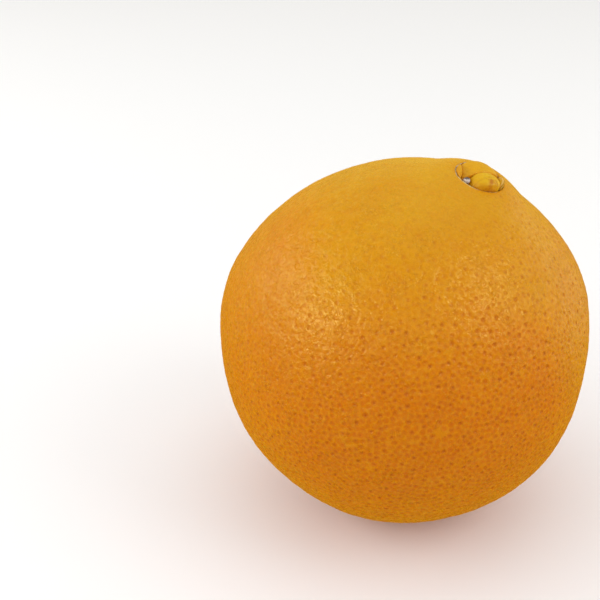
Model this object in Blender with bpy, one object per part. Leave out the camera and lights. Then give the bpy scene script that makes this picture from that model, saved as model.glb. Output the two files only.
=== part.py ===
# A whole navel orange, lying with its navel end up and its stem end underneath.
# Units are metres, +Z is up and the fruit rests on a small flat spot at the origin.

import math

import bmesh
import bpy
from mathutils import Vector

MM = 0.001

# Whole fruit
BODY_RADIUS = 40.0
FLAT_SPOT_RADIUS = 7.0
AXIS_LEAN = math.radians(19.6)
AXIS_HEADING = math.radians(1.2)
PIECE_GAP = 0.3

# Broad swells of the skin: polar angle from the navel, azimuth, reach and height
SWELLS = (
    (79.0, -3.0, 17.0, -1.12),
    (52.0, 16.0, 20.0, 0.83),
    (48.0, 138.0, 24.0, -0.88),
    (96.0, 174.0, 20.0, 1.38),
    (135.0, -155.0, 25.0, 0.66),
    (148.0, -71.0, 25.0, 0.82),
    (112.0, -22.0, 25.0, 0.72),
)

# Navel end
HUMP_HEIGHT = 1.35
HUMP_REACH = 10.72
HUMP_POWER = 4.2
RIM_TILT = 1.00
RIM_TILT_AZIMUTH = math.radians(80.0)
RIM_POLAR = math.radians(7.8)
RIM_OVAL = 0.042
RIM_OVAL_TURN = 0.15
RIM_THREES = 0.014
RIM_THREES_TURN = -1.0
# Flatter stretches of the rim: azimuth, reach and share of the radius
RIM_FLATS = (
    (math.radians(150.0), math.radians(30.0), 0.11),
    (math.radians(12.0), math.radians(38.0), 0.065),
)
RIM_STEP = 0.002
LIP_RADIUS = 0.45
LIP_STEPS = 144
CUP_DEPTH = 4.6
CUP_SQUARENESS = 4.0
LOBE_OVERHANG = 0.15
LOBE_INSET = PIECE_GAP + 0.05
LOBE_REACH = 9.0
LOBE_HALVINGS = 32
NUB_SEGMENTS = 20
NUB_RINGS = 12
NUB_WRINKLES = 5
NUB_WRINKLE_DEPTH = 0.08

# Stem end
DIMPLE_DEPTH = 3.0
DIMPLE_REACH = 7.0
FURROW_COUNT = 11
FURROW_DEPTH = 1.35
FURROW_WIDTH = 1.25
FURROW_START = 3.6
FURROW_REACH = 18.0
FURROW_STRAY = 0.17
FURROW_JITTER = 0.10
FURROW_WANDER = 0.10
FURROW_WANDER_REACH = 4.0
FURROW_SHORTEST = 0.38
FURROW_LONGEST = 1.06
FURROW_WIDTH_SPREAD = 0.25
FURROW_OVERLAP = 1.1
FOLD_HEIGHT = 0.6
STEM_ZONE = 45.0
FLAT_SPOT_CALM = 12.0
FLAT_SPOT_SNAP = 0.06

# Stem button
CALYX_RADIUS = 3.1
CALYX_POINT = 0.45
CALYX_POINTS = 5
CALYX_LOPSIDED = 0.25
CALYX_THREES = 0.15
CALYX_BLUNTNESS = 0.8
CALYX_THICKNESS = 0.9
CALYX_EDGE_THICKNESS = 0.35
CALYX_CLEARANCE = PIECE_GAP + 0.06
STUB_RADIUS = 1.55
STUB_HEIGHT = 0.85
STUB_SQUARENESS = 0.5
STUB_FOURS = 0.05
STUB_SEVENS = 0.03
STUB_DISH_DEPTH = 0.25
STUB_DISH_REACH = 0.6

# Mesh density
SEGMENTS = 72
CUP_RINGS = 8
LIP_RINGS = 5
SKIN_RINGS = 48
CUP_CROWDING = 1.5
END_CROWDING = 0.5


def frame_axes():
    lean, heading = AXIS_LEAN, AXIS_HEADING
    x_axis = Vector((math.cos(lean) * math.cos(heading),
                     math.cos(lean) * math.sin(heading),
                     -math.sin(lean)))
    y_axis = Vector((-math.sin(heading), math.cos(heading), 0.0))
    return x_axis, y_axis, x_axis.cross(y_axis)


X_AXIS, Y_AXIS, Z_AXIS = frame_axes()


def direction(polar, azimuth):
    return Vector((math.sin(polar) * math.cos(azimuth),
                   math.sin(polar) * math.sin(azimuth),
                   math.cos(polar)))


SWELL_TABLE = [(direction(math.radians(p), math.radians(a)), math.radians(r), h)
               for p, a, r, h in SWELLS]
DOWN = Vector((X_AXIS.z, Y_AXIS.z, Z_AXIS.z)) * -1.0


def furrow_azimuth(index, distance):
    # Furrows are unevenly spread and wander a little as they run out
    spread = math.tau * index / FURROW_COUNT
    stray = FURROW_STRAY * math.sin(2.3 * index + 0.7)
    jitter = FURROW_JITTER * math.sin(5.1 * index)
    wander = FURROW_WANDER * math.sin(distance / FURROW_WANDER_REACH + 1.9 * index)
    return spread + stray + jitter + wander


def furrow_length(index):
    part = (1.0 + math.sin(3.7 * index + 1.1)) / 2.0
    return FURROW_REACH * (FURROW_SHORTEST + (FURROW_LONGEST - FURROW_SHORTEST) * part)


def stem_relief(distance, azimuth, calm):
    # Dimple, radial furrows and the low folds between them, in millimetres
    dip = DIMPLE_DEPTH * math.exp(-(distance / DIMPLE_REACH) ** 2)
    start = 1.0 - math.exp(-(distance / FURROW_START) ** 3)
    cut = 0.0
    for index in range(FURROW_COUNT):
        turn = math.remainder(azimuth - furrow_azimuth(index, distance), math.tau)
        if abs(turn) > math.pi / 2.0:
            continue
        across = distance * math.sin(turn)
        width = FURROW_WIDTH * (1.0 + FURROW_WIDTH_SPREAD * math.sin(1.3 * index))
        fade = math.exp(-(distance / furrow_length(index)) ** 4)
        cut += fade * math.exp(-(across / width) ** 2)
    fold = FOLD_HEIGHT * start * math.exp(-(distance / FURROW_REACH) ** 4)
    furrow = FURROW_DEPTH * start * min(cut, FURROW_OVERLAP)
    return -dip + (fold - furrow) * calm


def skin_radius(polar, azimuth):
    # Distance from the fruit's centre to the skin, outside the navel's rim
    heading = direction(polar, azimuth)
    radius = BODY_RADIUS
    for centre, reach, height in SWELL_TABLE:
        radius += height * math.exp(-(heading.angle(centre) / reach) ** 2)
    navel_distance = BODY_RADIUS * polar
    hump = math.exp(-(navel_distance / HUMP_REACH) ** HUMP_POWER)
    tilt = RIM_TILT * math.cos(azimuth - RIM_TILT_AZIMUTH) * min(polar / RIM_POLAR, 1.0)
    radius += (HUMP_HEIGHT + tilt) * hump
    stem_distance = BODY_RADIUS * (math.pi - polar)
    if stem_distance > STEM_ZONE:
        return radius
    from_spot = BODY_RADIUS * heading.angle(DOWN)
    calm = 1.0 - math.exp(-(from_spot / FLAT_SPOT_CALM) ** 4)
    return radius + stem_relief(stem_distance, azimuth, calm)


def skin_point(polar, azimuth):
    return direction(polar, azimuth) * skin_radius(polar, azimuth)


LOWEST_REACH = skin_radius(math.acos(DOWN.z), math.atan2(DOWN.y, DOWN.x))
CENTRE_HEIGHT = math.sqrt(LOWEST_REACH ** 2 - FLAT_SPOT_RADIUS ** 2)


def to_world(point):
    # Fruit coordinates in millimetres to world metres
    turned = X_AXIS * point[0] + Y_AXIS * point[1] + Z_AXIS * point[2]
    return (turned + Vector((0.0, 0.0, CENTRE_HEIGHT))) * MM


def rim_polar(azimuth):
    # The navel's rim: nearly round, a little oval and flattened in two places
    share = 1.0 + RIM_OVAL * math.cos(2.0 * azimuth + RIM_OVAL_TURN)
    share += RIM_THREES * math.cos(3.0 * azimuth + RIM_THREES_TURN)
    for middle, reach, flat in RIM_FLATS:
        turn = math.remainder(azimuth - middle, math.tau)
        share -= flat * math.exp(-(turn / reach) ** 2)
    return RIM_POLAR * share


def lip_shape_at(azimuth):
    # Where the lip's round edge leaves the skin, and the cup's wall under it
    polar = rim_polar(azimuth)
    inner = skin_point(polar - RIM_STEP, azimuth)
    outer = skin_point(polar + RIM_STEP, azimuth)
    run = math.hypot(outer.x, outer.y) - math.hypot(inner.x, inner.y)
    slope = math.atan2(inner.z - outer.z, run)
    end = skin_point(polar, azimuth)
    sweep = math.pi / 2.0 + slope
    wall_radius = math.hypot(end.x, end.y) - LIP_RADIUS * (1.0 - math.cos(sweep))
    wall_top = end.z - LIP_RADIUS * math.sin(sweep)
    return wall_radius, wall_top, sweep


LIP_TABLE = [lip_shape_at(math.tau * i / LIP_STEPS) for i in range(LIP_STEPS)]
WALL_TOP = sum(row[1] for row in LIP_TABLE) / LIP_STEPS
CUP_FLOOR = WALL_TOP - CUP_DEPTH


def lip_shape(azimuth):
    # Wall radius, wall top and sweep of the lip, from the table round the rim
    place = (azimuth % math.tau) / math.tau * LIP_STEPS
    index = int(place)
    share = place - index
    first = LIP_TABLE[index % LIP_STEPS]
    second = LIP_TABLE[(index + 1) % LIP_STEPS]
    return tuple(a + (b - a) * share for a, b in zip(first, second))


def cup_point(turn, azimuth):
    # From the middle of the cup's floor, turn 0, to the top of its wall
    wall_radius, wall_top, _ = lip_shape(azimuth)
    power = 2.0 / CUP_SQUARENESS
    radius = wall_radius * math.sin(turn) ** power
    height = wall_top - (wall_top - CUP_FLOOR) * max(math.cos(turn), 0.0) ** power
    return Vector((radius * math.cos(azimuth), radius * math.sin(azimuth), height))


def lip_point(part, azimuth):
    wall_radius, wall_top, sweep = lip_shape(azimuth)
    turn = sweep * part
    radius = wall_radius + LIP_RADIUS * (1.0 - math.cos(turn))
    height = wall_top + LIP_RADIUS * math.sin(turn)
    return Vector((radius * math.cos(azimuth), radius * math.sin(azimuth), height))


def peel_point(ring, azimuth):
    # Rings run from the cup's floor over the lip and down the skin to the stem
    if ring < CUP_RINGS:
        part = ring / CUP_RINGS
        return cup_point(math.pi / 2.0 * part ** CUP_CROWDING, azimuth)
    if ring < CUP_RINGS + LIP_RINGS:
        return lip_point((ring - CUP_RINGS) / LIP_RINGS, azimuth)
    part = (ring - CUP_RINGS - LIP_RINGS) / SKIN_RINGS
    part -= END_CROWDING * math.sin(math.tau * part) / math.tau
    start = rim_polar(azimuth)
    return skin_point(start + (math.pi - start) * part, azimuth)


# Scene clean-up and helpers

for old in list(bpy.data.objects):
    bpy.data.objects.remove(old, do_unlink=True)

COLLECTION = bpy.data.collections.new("navel_orange")
bpy.context.scene.collection.children.link(COLLECTION)


def make_material(name, colour, roughness):
    material = bpy.data.materials.new(name)
    material.use_nodes = True
    shader = material.node_tree.nodes["Principled BSDF"]
    shader.inputs["Base Color"].default_value = (*colour, 1.0)
    shader.inputs["Roughness"].default_value = roughness
    shader.inputs["Metallic"].default_value = 0.0
    material.diffuse_color = (*colour, 1.0)
    return material


def add_object(name, bm, material):
    bmesh.ops.recalc_face_normals(bm, faces=bm.faces[:])
    mesh = bpy.data.meshes.new(name)
    bm.to_mesh(mesh)
    bm.free()
    for polygon in mesh.polygons:
        polygon.use_smooth = True
    mesh.materials.append(material)
    obj = bpy.data.objects.new(name, mesh)
    COLLECTION.objects.link(obj)
    return obj


def ball(segments, rings):
    bm = bmesh.new()
    bmesh.ops.create_uvsphere(bm, u_segments=segments, v_segments=rings, radius=1.0)
    return bm


# Peel with the navel's cup, the stem's dimple and the flat spot

def build_peel(material):
    rings = CUP_RINGS + LIP_RINGS + SKIN_RINGS
    bm = ball(SEGMENTS, rings)
    for vertex in bm.verts:
        place = vertex.co.normalized()
        polar = math.acos(max(-1.0, min(1.0, place.z)))
        ring = round(polar / math.pi * rings)
        azimuth = math.atan2(place.y, place.x)
        vertex.co = to_world(peel_point(ring, azimuth))
    for vertex in bm.verts:
        if vertex.co.z < FLAT_SPOT_SNAP * MM:
            vertex.co.z = 0.0
    return add_object("peel", bm, material)


# Lobes of the small second fruit that fill the navel's cup

def cup_distance(point, inset):
    # Negative inside the cup and its lip when they are drawn in by the inset
    wall_radius, wall_top, _ = lip_shape(math.atan2(point.y, point.x))
    radius = math.hypot(point.x, point.y)
    rise = point.z - wall_top
    if rise > 0.0:
        round_edge = math.hypot(radius - wall_radius - LIP_RADIUS, rise)
        return max(LIP_RADIUS + inset - round_edge, radius - wall_radius - LOBE_OVERHANG)
    across = radius / (wall_radius - inset)
    depth = -rise / (wall_top - CUP_FLOOR - inset)
    power = CUP_SQUARENESS
    return wall_radius * ((across ** power + depth ** power) ** (1.0 / power) - 1.0)


def ellipsoid_distance(point, centre, radii):
    scaled = Vector((point[i] - centre[i]) / radii[i] for i in range(3))
    return (scaled.length - 1.0) * min(radii)


def blend_max(values, sharpness):
    top = max(values)
    total = sum(math.exp(sharpness * (value - top)) for value in values)
    return top + math.log(total) / sharpness


def slope_distance(point, slope):
    x, y, rise, uphill, steepness = slope
    along = (point.x - x) * math.cos(uphill) + (point.y - y) * math.sin(uphill)
    return (point.z - WALL_TOP - rise) * math.cos(steepness) - along * math.sin(steepness)


def lobe_distance(point, lobe):
    centre = Vector(lobe["centre"]) + Vector((0.0, 0.0, WALL_TOP))
    form = [ellipsoid_distance(point, centre, lobe["radii"])]
    form += [slope_distance(point, slope) for slope in lobe.get("slopes", ())]
    values = [cup_distance(point, LOBE_INSET), blend_max(form, SLOPE_SHARPNESS)]
    for angle, offset in lobe["sides"]:
        turn = math.radians(angle)
        values.append(point.x * math.cos(turn) + point.y * math.sin(turn) - offset)
    if lobe["clears_nub"]:
        nub = Vector(NUB["centre"]) + Vector((0.0, 0.0, WALL_TOP))
        reach = max(NUB["radii"]) + LOBE_INSET
        values.append(reach - (point - nub).length)
    return blend_max(values, lobe["sharpness"])


def build_lobe(name, lobe, segments, rings, material):
    bm = ball(segments, rings)
    seed = Vector(lobe["seed"]) + Vector((0.0, 0.0, WALL_TOP))
    for vertex in bm.verts:
        ray = vertex.co.normalized()
        near, far = 0.0, LOBE_REACH
        for _ in range(LOBE_HALVINGS):
            middle = (near + far) / 2.0
            if lobe_distance(seed + ray * middle, lobe) < 0.0:
                near = middle
            else:
                far = middle
        vertex.co = to_world(seed + ray * near)
    return add_object(name, bm, material)


NUB = {"centre": (-2.75, -3.05, -0.2), "radii": (0.78, 0.62, 0.75)}
SPLIT_ANGLE = 114.0
SPLIT_OFFSET = -0.45
LEFT_SPLIT = 4.05
RIGHT_SPLIT = 3.9
HALF_GAP = PIECE_GAP / 2.0 + 0.02

# The back lobe runs down to the front one and to the nub: a point, its height,
# the azimuth that leads uphill and the steepness
BACK_SLOPES = (
    (0.18, -0.41, 1.95, math.radians(114.0), math.radians(17.0)),
    (-1.83, -1.31, 0.75, math.radians(50.0), math.radians(35.0)),
)
SLOPE_SHARPNESS = 4.0

BACK_LOBE = {
    "centre": (0.05, 1.2, -1.6),
    "radii": (5.0, 5.5, 4.38),
    "seed": (-0.4, 1.8, -1.2),
    "sides": ((SPLIT_ANGLE + 180.0, -SPLIT_OFFSET - HALF_GAP),
              (186.0, LEFT_SPLIT - HALF_GAP),
              (4.0, RIGHT_SPLIT - HALF_GAP)),
    "slopes": BACK_SLOPES,
    "clears_nub": True,
    "sharpness": 5.0,
}
FRONT_LOBE = {
    "centre": (1.5, -1.8, -1.0),
    "radii": (3.7, 3.9, 3.2),
    "seed": (1.7, -2.0, -1.2),
    "sides": ((SPLIT_ANGLE, SPLIT_OFFSET - HALF_GAP),
              (4.0, RIGHT_SPLIT - HALF_GAP)),
    "clears_nub": True,
    "sharpness": 4.5,
}
SIDE_LOBE = {
    "centre": (-4.3, 0.5, -1.2),
    "radii": (1.9, 4.0, 2.7),
    "seed": (-4.65, 0.0, -1.3),
    "sides": ((6.0, -LEFT_SPLIT - HALF_GAP),),
    "clears_nub": True,
    "sharpness": 8.0,
}
MEMBRANE = {
    "centre": (4.9, 0.7, -0.6),
    "radii": (1.2, 4.4, 2.1),
    "seed": (4.4, -0.1, -0.7),
    "sides": ((184.0, -RIGHT_SPLIT - HALF_GAP),),
    "clears_nub": False,
    "sharpness": 18.0,
}


def build_nub(material):
    bm = ball(NUB_SEGMENTS, NUB_RINGS)
    base = Vector(NUB["centre"]) + Vector((0.0, 0.0, WALL_TOP))
    for vertex in bm.verts:
        place = vertex.co.normalized()
        wave = math.cos(NUB_WRINKLES * math.atan2(place.y, place.x))
        wrinkle = 1.0 - NUB_WRINKLE_DEPTH * (1.0 + wave)
        offset = Vector(place[i] * NUB["radii"][i] * wrinkle for i in range(3))
        vertex.co = to_world(base + offset)
    return add_object("style_nub", bm, material)


# Stem button: a five-pointed calyx and the cut end of the stem on it

def calyx_radius(azimuth):
    wave = math.cos(CALYX_POINTS * azimuth + 0.5)
    lopsided = CALYX_LOPSIDED * math.cos(azimuth - 0.8)
    threes = CALYX_THREES * math.cos(3.0 * azimuth)
    return CALYX_RADIUS + CALYX_POINT * wave + lopsided + threes


def stem_surface(radius, azimuth):
    # Point of the dimple's skin at a radius from the stem's axis
    return skin_point(math.pi - radius / BODY_RADIUS, azimuth)


def disc_height(radius, reach, middle, edge):
    part = min(radius / reach, 1.0)
    return edge + (middle - edge) * (1.0 - part ** 2)


def build_calyx(material):
    segments, rings = 40, 12
    bm = ball(segments, rings)
    for vertex in bm.verts:
        place = vertex.co.normalized()
        azimuth = math.atan2(place.y, place.x)
        polar = math.acos(max(-1.0, min(1.0, place.z)))
        reach = calyx_radius(azimuth)
        radius = reach * math.sin(polar) ** CALYX_BLUNTNESS
        base = stem_surface(radius, azimuth)
        thickness = disc_height(radius, reach, CALYX_THICKNESS, CALYX_EDGE_THICKNESS)
        share = (1.0 - math.cos(polar)) / 2.0
        height = base.z - CALYX_CLEARANCE - thickness * share
        vertex.co = to_world((base.x, base.y, height))
    return add_object("calyx", bm, material)


def build_stub(material):
    segments, rings = 28, 10
    bm = ball(segments, rings)
    top_of_calyx = stem_surface(0.0, 0.0).z - CALYX_CLEARANCE - CALYX_THICKNESS
    for vertex in bm.verts:
        place = vertex.co.normalized()
        azimuth = math.atan2(place.y, place.x)
        flat = math.hypot(place.x, place.y)
        ragged = 1.0 + STUB_FOURS * math.cos(4.0 * azimuth)
        ragged += STUB_SEVENS * math.cos(7.0 * azimuth + 1.0)
        radius = STUB_RADIUS * ragged * flat ** STUB_SQUARENESS
        rise = math.copysign(abs(place.z) ** STUB_SQUARENESS, place.z)
        dish = 0.0
        if place.z < 0.0:
            dish = STUB_DISH_DEPTH * math.exp(-(radius / STUB_DISH_REACH) ** 2)
        height = top_of_calyx - PIECE_GAP - STUB_HEIGHT * (1.0 - rise) / 2.0 + dish
        vertex.co = to_world((radius * math.cos(azimuth), radius * math.sin(azimuth), height))
    return add_object("stem_stub", bm, material)


PEEL_COLOUR = (0.78, 0.24, 0.012)
LOBE_COLOUR = (0.80, 0.38, 0.015)
MEMBRANE_COLOUR = (0.72, 0.42, 0.18)
NUB_COLOUR = (0.26, 0.20, 0.20)
CALYX_COLOUR = (0.26, 0.30, 0.06)
STUB_COLOUR = (0.45, 0.33, 0.16)

peel_skin = make_material("orange_peel", PEEL_COLOUR, 0.42)
lobe_skin = make_material("navel_lobe_skin", LOBE_COLOUR, 0.45)
membrane_skin = make_material("dry_membrane", MEMBRANE_COLOUR, 0.6)
nub_skin = make_material("dried_style", NUB_COLOUR, 0.8)
calyx_skin = make_material("green_calyx", CALYX_COLOUR, 0.65)
stub_skin = make_material("cut_stem", STUB_COLOUR, 0.8)

build_peel(peel_skin)
build_lobe("navel_lobe_back", BACK_LOBE, 32, 20, lobe_skin)
build_lobe("navel_lobe_front", FRONT_LOBE, 32, 20, lobe_skin)
build_lobe("navel_lobe_side", SIDE_LOBE, 24, 16, lobe_skin)
build_lobe("navel_membrane", MEMBRANE, 20, 14, membrane_skin)
build_nub(nub_skin)
build_calyx(calyx_skin)
build_stub(stub_skin)
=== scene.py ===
# Looks of a whole navel orange that lies with its navel end up and its stem end underneath.
# Shapes are worked out in millimetres in the fruit's own frame, then turned to world metres.
import math

import bpy
import numpy as np
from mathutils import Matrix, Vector, noise
from mathutils.geometry import delaunay_2d_cdt
from mathutils.kdtree import KDTree


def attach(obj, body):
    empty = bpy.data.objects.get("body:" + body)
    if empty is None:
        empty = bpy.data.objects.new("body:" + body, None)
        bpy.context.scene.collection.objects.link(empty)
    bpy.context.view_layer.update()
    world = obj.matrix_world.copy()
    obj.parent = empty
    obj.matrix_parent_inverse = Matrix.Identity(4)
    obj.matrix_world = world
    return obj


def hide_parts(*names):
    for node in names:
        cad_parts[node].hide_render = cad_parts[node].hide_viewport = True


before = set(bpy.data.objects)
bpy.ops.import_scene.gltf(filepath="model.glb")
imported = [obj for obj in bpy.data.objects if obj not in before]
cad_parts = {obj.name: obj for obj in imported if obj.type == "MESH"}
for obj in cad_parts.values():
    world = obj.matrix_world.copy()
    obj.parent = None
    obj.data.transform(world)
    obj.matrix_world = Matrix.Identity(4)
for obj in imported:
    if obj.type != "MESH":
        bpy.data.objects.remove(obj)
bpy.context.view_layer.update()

MM = 0.001
TAU = math.tau
TINY = 1e-6

# Whole fruit, as in the solids
BODY_RADIUS = 40.0
FLAT_SPOT_RADIUS = 7.0
AXIS_LEAN = math.radians(19.6)
AXIS_HEADING = math.radians(1.2)

# Broad swells of the skin: polar angle from the navel, azimuth, reach and height
SWELLS = (
    (79.0, -3.0, 17.0, -1.12),
    (52.0, 16.0, 20.0, 0.83),
    (48.0, 138.0, 24.0, -0.88),
    (96.0, 174.0, 20.0, 1.38),
    (135.0, -155.0, 25.0, 0.66),
    (148.0, -71.0, 25.0, 0.82),
    (112.0, -22.0, 25.0, 0.72),
)

# Navel end
HUMP_HEIGHT = 1.35
HUMP_REACH = 10.72
HUMP_POWER = 4.2
RIM_TILT = 1.00
RIM_TILT_AZIMUTH = math.radians(80.0)
RIM_POLAR = math.radians(7.8)
RIM_OVAL = 0.042
RIM_OVAL_TURN = 0.15
RIM_THREES = 0.014
RIM_THREES_TURN = -1.0
# Flatter stretches of the rim: azimuth, reach and share of the radius
RIM_FLATS = (
    (math.radians(150.0), math.radians(30.0), 0.11),
    (math.radians(12.0), math.radians(38.0), 0.065),
)
LIP_RADIUS = 0.45
CUP_DEPTH = 4.6
CUP_SQUARENESS = 4.0
LOBE_OVERHANG = 0.15

# Mesh rings over the cup and lip, where the lip has its share of them
CUP_RINGS = 22
CUP_RING_CROWDING = 1.3
LIP_SHARE = 0.45
LIP_STEPS = 144
RING_STEPS = 132
FEWEST_RING_STEPS = 12
RING_STEP_GROWTH = 1.6

# Stem end
DIMPLE_DEPTH = 3.0
DIMPLE_REACH = 7.0
FURROW_COUNT = 11
FURROW_DEPTH = 1.35
FURROW_WIDTH = 1.25
FURROW_START = 3.6
FURROW_REACH = 18.0
FURROW_STRAY = 0.17
FURROW_JITTER = 0.10
FURROW_WANDER = 0.10
FURROW_WANDER_REACH = 4.0
FURROW_SHORTEST = 0.38
FURROW_LONGEST = 1.06
FURROW_WIDTH_SPREAD = 0.25
FURROW_OVERLAP = 1.1
FOLD_HEIGHT = 0.6
FLAT_SPOT_CALM = 12.0
PIECE_GAP = 0.3
CALYX_RADIUS = 3.1
CALYX_POINT = 0.45
CALYX_POINTS = 5
CALYX_LOPSIDED = 0.25
CALYX_THREES = 0.15
CALYX_BLUNTNESS = 0.8
CALYX_THICKNESS = 0.9
CALYX_EDGE_THICKNESS = 0.35
CALYX_CLEARANCE = PIECE_GAP + 0.06
CALYX_BUMP = 0.16
CALYX_NOISE = (1.6, 2.5)
CALYX_MESH = (90, 40)
STUB_RADIUS = 1.55
STUB_HEIGHT = 0.85
STUB_SQUARENESS = 0.5
STUB_FOURS = 0.05
STUB_SEVENS = 0.03
STUB_DISH_DEPTH = 0.25
STUB_DISH_REACH = 0.6
STUB_FIBRE = 0.06
STUB_FIBRE_STRETCH = 0.3
STUB_NOISE = (3.5, 1.0)
STUB_MESH = (56, 36)

# Gland pits: random points that push each other apart, and their strengths
PORE_COUNT = 12000
PORE_ROUNDS = 14
PORE_NEIGHBOURS = 8
PORE_PUSH = 0.25
PORE_PUSH_REACH = 1.25
PORE_RING = 6
PORE_RADIUS = 0.36
STRONG_PORE_SPACING = 2.25
FAINT_PITS = (0.20, 0.72)
STRONG_PITS = (0.75, 1.15)
PLACE_SEED = 11
STRENGTH_SEED = 12
RING_SEED = 13
# How near pits, and mesh points between them, come to the rim, in shares of its polar angle
PORE_CLEARANCE = 1.16
FILL_CLEARANCE = 1.045

# Relief of the skin. Each noise here and above is a scale and an offset
PIT_DEPTH = 0.15
PIT_RING_SHARE = 0.22
PEBBLE_HEIGHT = 0.07
PEBBLE_RING_SHARE = 0.35
PEBBLE_NOISE = (0.75, 3.1)
LUMP_HEIGHT = 0.10
LUMP_NOISE = (0.19, 7.7)
STEM_WAVE_HEIGHT = 0.35
STEM_WAVE_REACH = 22.0
STEM_WAVE_NOISE = (0.33, 1.3)
NAVEL_CALM_ANGLES = (0.19, 0.54)
NAVEL_CALM_SHARE = 0.25

# Poles that the skin's looks change away from, as a polar angle and an azimuth. Around the second,
# on the lit left side, the colour holds painted shade and painted glints, and around the third a
# painted rim light
YELLOW_POLE = (math.radians(14.0), math.radians(-165.0))
LIT_LEFT_POLE = (math.radians(58.0), math.radians(-168.0))
RIM_LIGHT_POLE = (math.radians(54.0), math.radians(-16.0))
# Pits are faint around the first two: the angle where they are whole, and their least share.
# Around the second, their fainter colour is painted light where the left highlight falls
YELLOW_FADE = (1.05, 0.25)
LIT_LEFT_FADE = (1.20, 0.32)

# Steps over which slopes are measured, in radians, and a direction to take sides from
NORMAL_STEP = 0.004
LIP_SLOPE_STEP = 0.002
SIDE_HINT = np.array([0.31, 0.87, 0.38])


# Directions from the fruit's centre, and angles between them

def unit(vectors):
    return vectors / np.linalg.norm(vectors, axis=-1, keepdims=True)


def direction(polar, azimuth):
    polar, azimuth = np.broadcast_arrays(polar, azimuth)
    return np.stack([np.sin(polar) * np.cos(azimuth),
                     np.sin(polar) * np.sin(azimuth),
                     np.cos(polar)], axis=-1)


def angles(directions):
    polar = np.arccos(np.clip(directions[..., 2], -1.0, 1.0))
    return polar, np.arctan2(directions[..., 1], directions[..., 0])


def turn_from(directions, way):
    return np.arccos(np.clip(directions @ way, -1.0, 1.0))


def within_half_turn(angle):
    return np.remainder(angle + math.pi, TAU) - math.pi


def tangents(directions):
    side = unit(np.cross(directions, SIDE_HINT))
    return side, np.cross(directions, side)


def round_axis(radius, azimuth, height):
    return np.stack([radius * np.cos(azimuth), radius * np.sin(azimuth), height], axis=-1)


def fruit_axes():
    lean, heading = AXIS_LEAN, AXIS_HEADING
    x_axis = np.array([math.cos(lean) * math.cos(heading),
                       math.cos(lean) * math.sin(heading),
                       -math.sin(lean)])
    y_axis = np.array([-math.sin(heading), math.cos(heading), 0.0])
    return np.stack([x_axis, y_axis, np.cross(x_axis, y_axis)])


AXES = fruit_axes()
DOWN = -AXES[:, 2]


# Form of the skin

def furrow_line(index, distance, azimuth):
    # How deep one furrow cuts: 1 along its middle and 0 away from it
    spread = TAU * index / FURROW_COUNT
    stray = FURROW_STRAY * math.sin(2.3 * index + 0.7)
    jitter = FURROW_JITTER * math.sin(5.1 * index)
    wander = FURROW_WANDER * np.sin(distance / FURROW_WANDER_REACH + 1.9 * index)
    turn = within_half_turn(azimuth - spread - stray - jitter - wander)
    width = FURROW_WIDTH * (1.0 + FURROW_WIDTH_SPREAD * math.sin(1.3 * index))
    part = (1.0 + math.sin(3.7 * index + 1.1)) / 2.0
    length = FURROW_REACH * (FURROW_SHORTEST + (FURROW_LONGEST - FURROW_SHORTEST) * part)
    fade = np.exp(-(distance / length) ** 4)
    line = fade * np.exp(-(distance * np.sin(turn) / width) ** 2)
    return np.where(np.abs(turn) > math.pi / 2.0, 0.0, line)


def stem_relief(distance, azimuth, calm):
    dip = DIMPLE_DEPTH * np.exp(-(distance / DIMPLE_REACH) ** 2)
    start = 1.0 - np.exp(-(distance / FURROW_START) ** 3)
    cut = sum(furrow_line(index, distance, azimuth) for index in range(FURROW_COUNT))
    fold = FOLD_HEIGHT * start * np.exp(-(distance / FURROW_REACH) ** 4)
    furrow = FURROW_DEPTH * start * np.minimum(cut, FURROW_OVERLAP)
    return -dip + (fold - furrow) * calm, furrow * calm


def skin_shape(directions):
    # Points of the skin and the furrows' depth, for unit directions from the centre
    polar, azimuth = angles(directions)
    radius = np.full(polar.shape, BODY_RADIUS)
    for swell_polar, swell_azimuth, reach, height in SWELLS:
        centre = direction(math.radians(swell_polar), math.radians(swell_azimuth))
        turn = turn_from(directions, centre)
        radius += height * np.exp(-(turn / math.radians(reach)) ** 2)
    hump = np.exp(-(BODY_RADIUS * polar / HUMP_REACH) ** HUMP_POWER)
    tilt = RIM_TILT * np.cos(azimuth - RIM_TILT_AZIMUTH) * np.minimum(polar / RIM_POLAR, 1.0)
    radius += (HUMP_HEIGHT + tilt) * hump
    from_spot = BODY_RADIUS * turn_from(directions, DOWN)
    calm = 1.0 - np.exp(-(from_spot / FLAT_SPOT_CALM) ** 4)
    relief, furrow = stem_relief(BODY_RADIUS * (math.pi - polar), azimuth, calm)
    return directions * (radius + relief)[..., None], furrow


def skin_point(directions):
    return skin_shape(directions)[0]


def skin_slope(directions, way):
    step = NORMAL_STEP * way
    return skin_point(unit(directions + step)) - skin_point(unit(directions - step))


def skin_normal(directions):
    side, other = tangents(directions)
    normal = unit(np.cross(skin_slope(directions, side), skin_slope(directions, other)))
    return normal * np.sign((normal * directions).sum(-1, keepdims=True))


LOWEST_REACH = float(np.linalg.norm(skin_point(DOWN[None])[0]))
CENTRE_HEIGHT = math.sqrt(LOWEST_REACH ** 2 - FLAT_SPOT_RADIUS ** 2)
CENTRE = Vector((0.0, 0.0, CENTRE_HEIGHT * MM))


def to_world(points):
    return (points @ AXES + np.array([0.0, 0.0, CENTRE_HEIGHT])) * MM


# Rim, lip and cup of the navel

def rim_polar(azimuth):
    share = 1.0 + RIM_OVAL * np.cos(2.0 * azimuth + RIM_OVAL_TURN)
    share = share + RIM_THREES * np.cos(3.0 * azimuth + RIM_THREES_TURN)
    for middle, reach, flat in RIM_FLATS:
        share = share - flat * np.exp(-(within_half_turn(azimuth - middle) / reach) ** 2)
    return RIM_POLAR * share


def outside_rim(directions, share):
    polar, azimuth = angles(directions)
    return polar > rim_polar(azimuth) * share


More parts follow.
